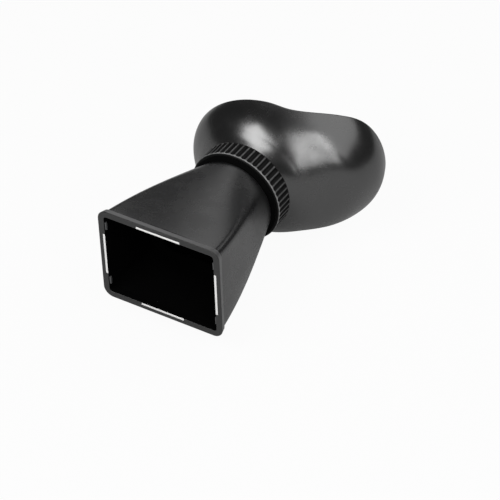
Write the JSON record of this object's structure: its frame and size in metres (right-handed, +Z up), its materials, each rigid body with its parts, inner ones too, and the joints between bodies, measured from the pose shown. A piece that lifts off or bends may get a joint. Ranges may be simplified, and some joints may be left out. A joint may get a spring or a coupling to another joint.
{
  "type": "lcd viewfinder loupe",
  "caption": "Magnifying hood for a camera screen: rectangular window frame, tapered housing, ribbed focus ring driving a sliding lens cell, and a winged rubber eyecup that turns.",
  "frame": {"origin": "middle of the front face that meets the camera's screen, on the optical axis", "axes": "+Y along the optical axis from the screen to the eye, +Z up, +X to the right as seen looking into the window from the screen side"},
  "size_m": [0.1, 0.1345, 0.0784],
  "materials": {
    "housing": "fine satin moulded texture, black",
    "frame": "smooth satin black",
    "liner": "dead matt black",
    "barrel": "smooth satin black",
    "grip": "semi-matt black with ribbed grip",
    "magnet": "bright nickel plate",
    "cup": "soft satin rubber",
    "soft_ring": "matt",
    "washer": "natural white low-friction plastic",
    "spring_steel": "dark oiled spring steel",
    "screw": "blackened steel",
    "pin": "turned brass",
    "cell": "black anodised, matt",
    "lens_glass": "polished, thin violet-green coating"
  },
  "bodies": {
    "housing": {"front_frame": "frame", "magnet_top": "magnet", "magnet_bottom": "magnet", "magnet_left": "magnet", "magnet_right": "magnet", "body_shell": "housing", "light_baffle": "liner", "neck_barrel": "barrel", "neck_screws": "screw", "thrust_washer": "washer", "cup_drag_ring": "soft_ring", "retaining_clip": "spring_steel"},
    "grip_ring": {"focus_ring": "grip"},
    "lens_group": {"lens_cell": "cell", "guide_pins": "pin", "field_lens": "lens_glass", "lens_spacer": "cell", "eye_lens": "lens_glass", "lens_retainer": "cell"},
    "eyecup_assembly": {"cup_carrier": "barrel", "cup_lock_ring": "barrel", "eyecup": "cup"}
  },
  "joints": [
    {"name": "focus_turn", "type": "hinge", "parent": "housing", "child": "grip_ring", "pos_m": [0, 0.0765, 0], "axis": [0, 1, 0], "range_deg": [-50, 50]},
    {"name": "lens_slide", "type": "slide", "parent": "housing", "child": "lens_group", "axis": [0, 1, 0], "range_m": [-0.00325, 0.00325]},
    {"name": "eyecup_turn", "type": "hinge", "parent": "housing", "child": "eyecup_assembly", "pos_m": [0, 0.0854, 0], "axis": [0, 1, 0], "continuous": true}
  ],
  "couplings": [
    {"joint": "lens_slide", "follows": "focus_turn", "m_per_rad": 0.0037242}
  ]
}
